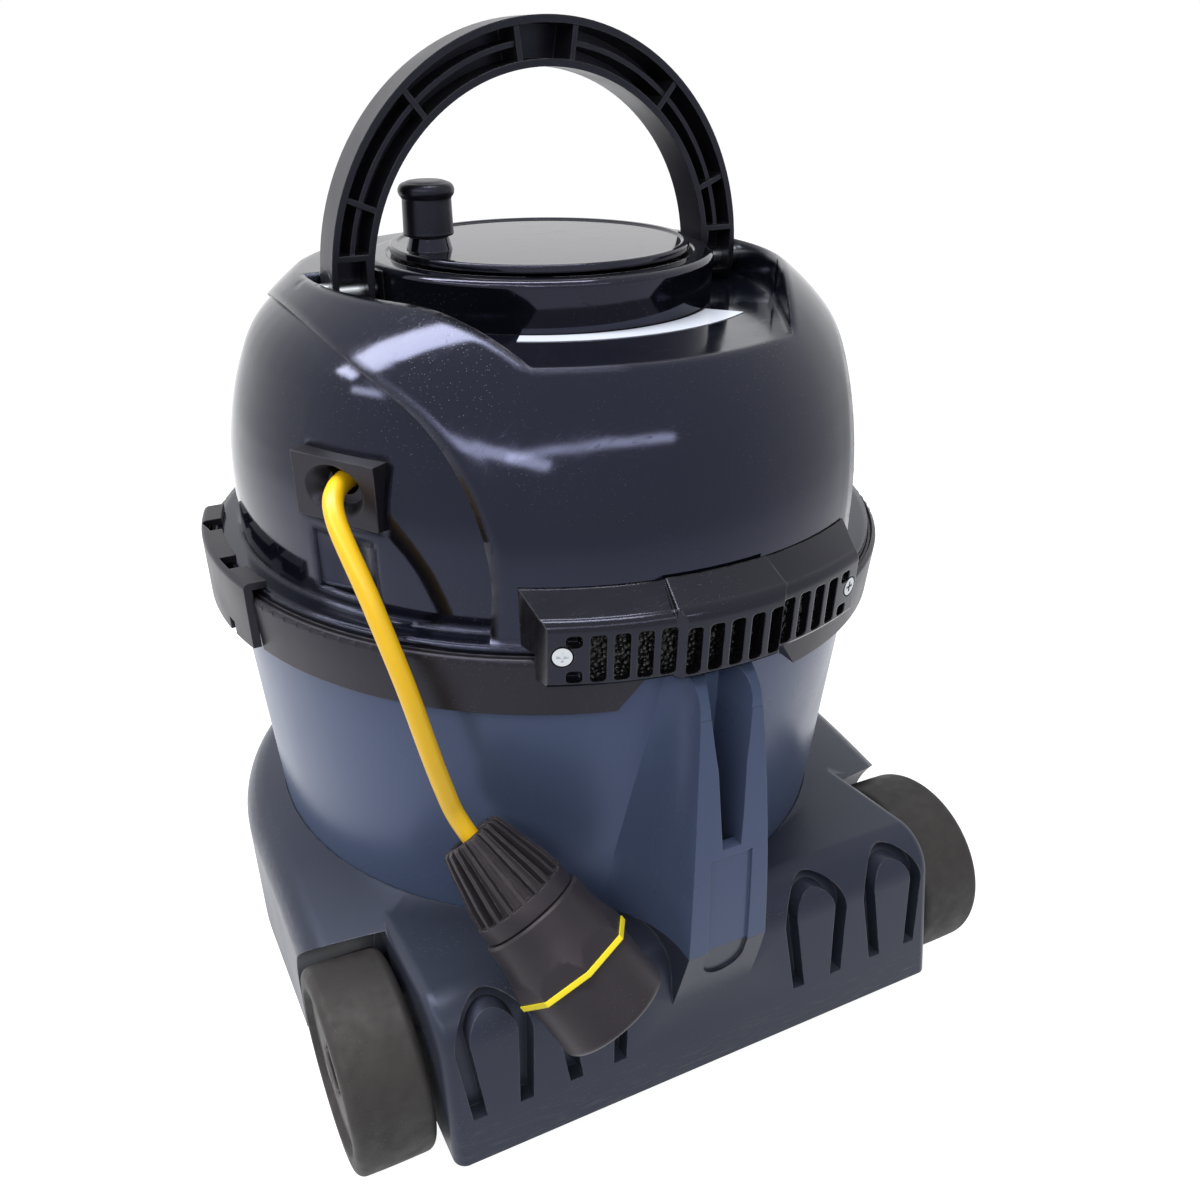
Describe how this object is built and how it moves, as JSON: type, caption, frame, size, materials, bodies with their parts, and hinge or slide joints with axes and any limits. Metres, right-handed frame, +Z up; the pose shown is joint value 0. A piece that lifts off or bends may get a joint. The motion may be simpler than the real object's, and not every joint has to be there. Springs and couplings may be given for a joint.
{
  "type": "shop vacuum",
  "caption": "Tub shop vacuum on a wheeled trolley: domed motor head with folding handle, hand-wound cable reel, side clips, rear exhaust grille, cord and plug.",
  "frame": {"origin": "on the floor under the middle of the machine, cord and plug left out", "axes": "+Z up, +Y towards the rear with the wheels and the exhaust grille, +X to the side where the cord comes out"},
  "size_m": [0.362, 0.4136, 0.478],
  "materials": {
    "slate_plastic": "semi-gloss moulded",
    "gloss_black": "gloss",
    "satin_black": "satin",
    "wheel_plastic": "matt",
    "tyre_rubber": "matt",
    "zinc_steel": "zinc plated",
    "seal_rubber": "matt",
    "cord_yellow": "satin",
    "charcoal_plastic": "satin",
    "ring_yellow": "satin",
    "bag_fleece": "matt",
    "filter_fabric": "matt",
    "foam": "matt",
    "card": "matt",
    "motor_steel": "satin",
    "copper_winding": "enamelled",
    "bright_pin": "bright",
    "alloy": "satin"
  },
  "bodies": {
    "root": {"base_trolley": "slate_plastic", "drum": "slate_plastic", "rim_band": "satin_black", "inlet_collar": "satin_black", "inlet_seal": "seal_rubber", "rear_axle": "zinc_steel", "axle_caps": "wheel_plastic", "dust_bag": "bag_fleece", "bag_collar": "card", "base_screws": "zinc_steel", "head_shell": "gloss_black", "motor_deck": "satin_black", "head_seal": "seal_rubber", "reel_cover": "gloss_black", "exhaust_grille": "satin_black", "exhaust_foam": "foam", "grille_screws": "zinc_steel", "cable_grommet": "satin_black", "motor_can": "motor_steel", "stator": "copper_winding", "brush_holders": "copper_winding", "motor_mounts": "seal_rubber", "bearings": "motor_steel", "filter_frame": "satin_black", "filter_cloth": "filter_fabric", "switch_bezel": "satin_black", "deck_screws": "zinc_steel", "handle_pins": "zinc_steel", "reel_spindle": "motor_steel", "clip_pin_left": "zinc_steel", "clip_pin_right": "zinc_steel", "power_cord": "cord_yellow", "plug_gland": "charcoal_plastic", "plug_body": "charcoal_plastic", "plug_ring": "ring_yellow", "plug_front": "charcoal_plastic", "plug_pins": "bright_pin"},
    "rotor": {"motor_shaft": "motor_steel", "armature": "copper_winding", "fan_wheel": "alloy"},
    "reel": {"cable_spool": "satin_black", "wound_cable": "cord_yellow", "crank_disc": "gloss_black", "knob_pin": "zinc_steel"},
    "knob": {"crank_knob": "satin_black"},
    "rocker": {"power_rocker": "satin_black"},
    "handle": {"carry_handle": "satin_black"},
    "clip_left": {"clip_left": "satin_black"},
    "clip_right": {"clip_right": "satin_black"},
    "wheel_left": {"wheel_hub_left": "wheel_plastic", "wheel_tyre_left": "tyre_rubber"},
    "castor_left": {"castor_fork_left": "zinc_steel", "castor_pin_left": "zinc_steel"},
    "castor_wheel_left": {"castor_wheel_left": "wheel_plastic"},
    "wheel_right": {"wheel_hub_right": "wheel_plastic", "wheel_tyre_right": "tyre_rubber"},
    "castor_right": {"castor_fork_right": "zinc_steel", "castor_pin_right": "zinc_steel"},
    "castor_wheel_right": {"castor_wheel_right": "wheel_plastic"}
  },
  "joints": [
    {"name": "handle_fold", "type": "hinge", "parent": "root", "child": "handle", "pos_m": [0, -0.0095, 0.374], "axis": [-1, 0, 0], "range_deg": [0, 90]},
    {"name": "clip_left_open", "type": "hinge", "parent": "root", "child": "clip_left", "pos_m": [0.1695, -0.0095, 0.2365], "axis": [0, 1, 0], "range_deg": [0, 90]},
    {"name": "clip_right_open", "type": "hinge", "parent": "root", "child": "clip_right", "pos_m": [-0.1695, -0.0095, 0.2365], "axis": [0, -1, 0], "range_deg": [0, 90]},
    {"name": "reel_wind", "type": "hinge", "parent": "root", "child": "reel", "pos_m": [0, -0.0095, 0.386], "axis": [0, 0, 1], "continuous": true},
    {"name": "knob_turn", "type": "hinge", "parent": "reel", "child": "knob", "pos_m": [0.055, -0.0095, 0.4], "axis": [0, 0, 1], "continuous": true},
    {"name": "motor_spin", "type": "hinge", "parent": "root", "child": "rotor", "pos_m": [0, -0.0095, 0.225], "axis": [0, 0, 1], "continuous": true},
    {"name": "rocker_tilt", "type": "hinge", "parent": "root", "child": "rocker", "pos_m": [0, -0.1075, 0.378], "axis": [1, 0, 0], "range_deg": [-8, 8]},
    {"name": "wheel_left_roll", "type": "hinge", "parent": "root", "child": "wheel_left", "pos_m": [0.16175, 0.1295, 0.05], "axis": [1, 0, 0], "continuous": true},
    {"name": "castor_left_swivel", "type": "hinge", "parent": "root", "child": "castor_left", "pos_m": [0.09062, -0.12141, 0.045], "axis": [0, 0, 1], "continuous": true},
    {"name": "castor_left_roll", "type": "hinge", "parent": "castor_left", "child": "castor_wheel_left", "pos_m": [0.09062, -0.10741, 0.019], "axis": [1, 0, 0], "continuous": true},
    {"name": "wheel_right_roll", "type": "hinge", "parent": "root", "child": "wheel_right", "pos_m": [-0.16175, 0.1295, 0.05], "axis": [1, 0, 0], "continuous": true},
    {"name": "castor_right_swivel", "type": "hinge", "parent": "root", "child": "castor_right", "pos_m": [-0.09062, -0.12141, 0.045], "axis": [0, 0, 1], "continuous": true},
    {"name": "castor_right_roll", "type": "hinge", "parent": "castor_right", "child": "castor_wheel_right", "pos_m": [-0.09062, -0.10741, 0.019], "axis": [1, 0, 0], "continuous": true}
  ]
}
